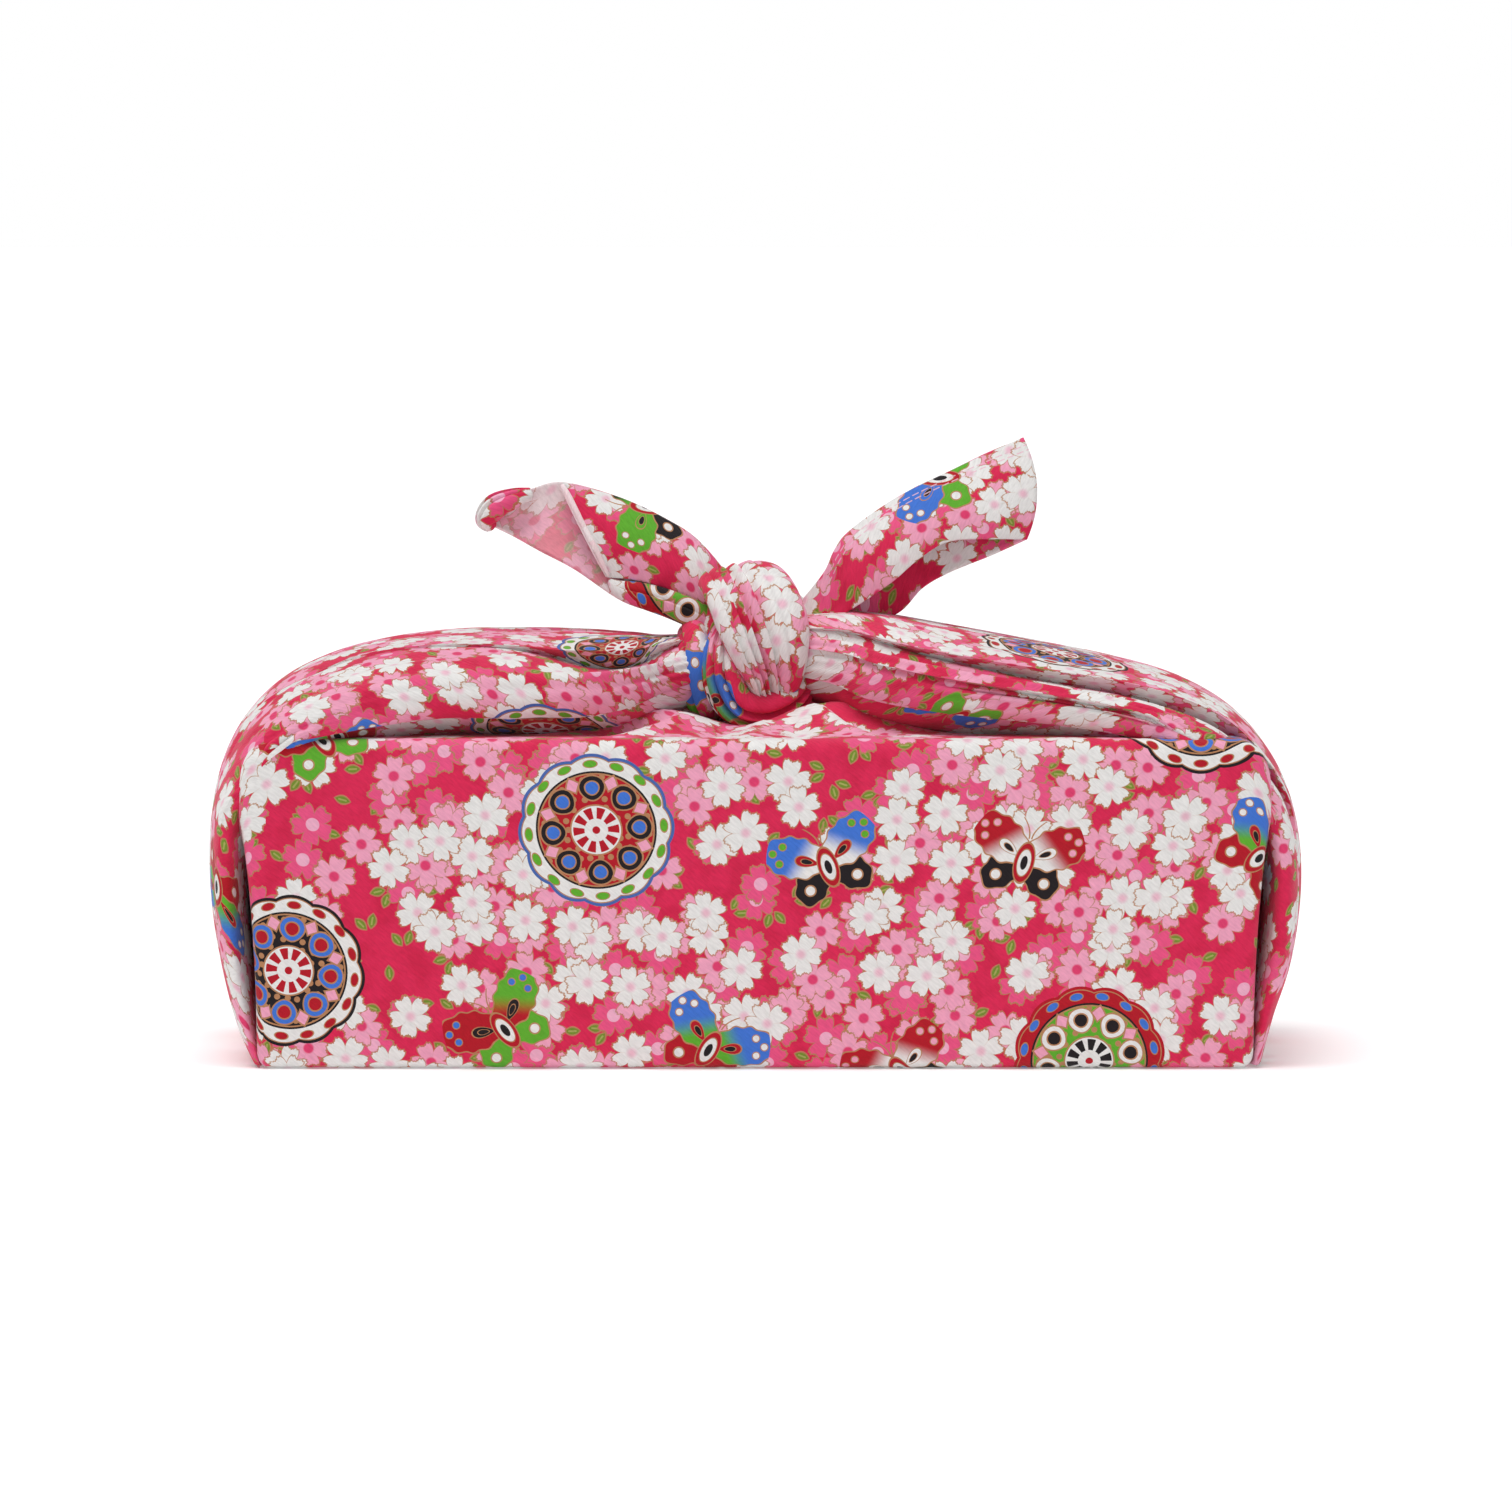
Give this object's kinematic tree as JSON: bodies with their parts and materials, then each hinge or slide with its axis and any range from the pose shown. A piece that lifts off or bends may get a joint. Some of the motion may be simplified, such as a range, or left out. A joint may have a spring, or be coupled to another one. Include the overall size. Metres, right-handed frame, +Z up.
{
  "type": "furoshiki wrap tied round an oblong box",
  "caption": "Square printed cotton cloth wrapped round an oblong box, its ends gathered into two arms and tied on top in a square knot with two free ends.",
  "frame": {"origin": "middle of the flat underside", "axes": "+X to the right of the front along the length, -Y out of the front, +Z up towards the knot"},
  "size_m": [0.2555, 0.1183, 0.1443],
  "materials": {
    "printed_cotton": "matt printed cotton crepe, crimson pink with cherry blossoms"
  },
  "bodies": {
    "root": {"furoshiki_cloth": "printed_cotton"}
  },
  "joints": []
}
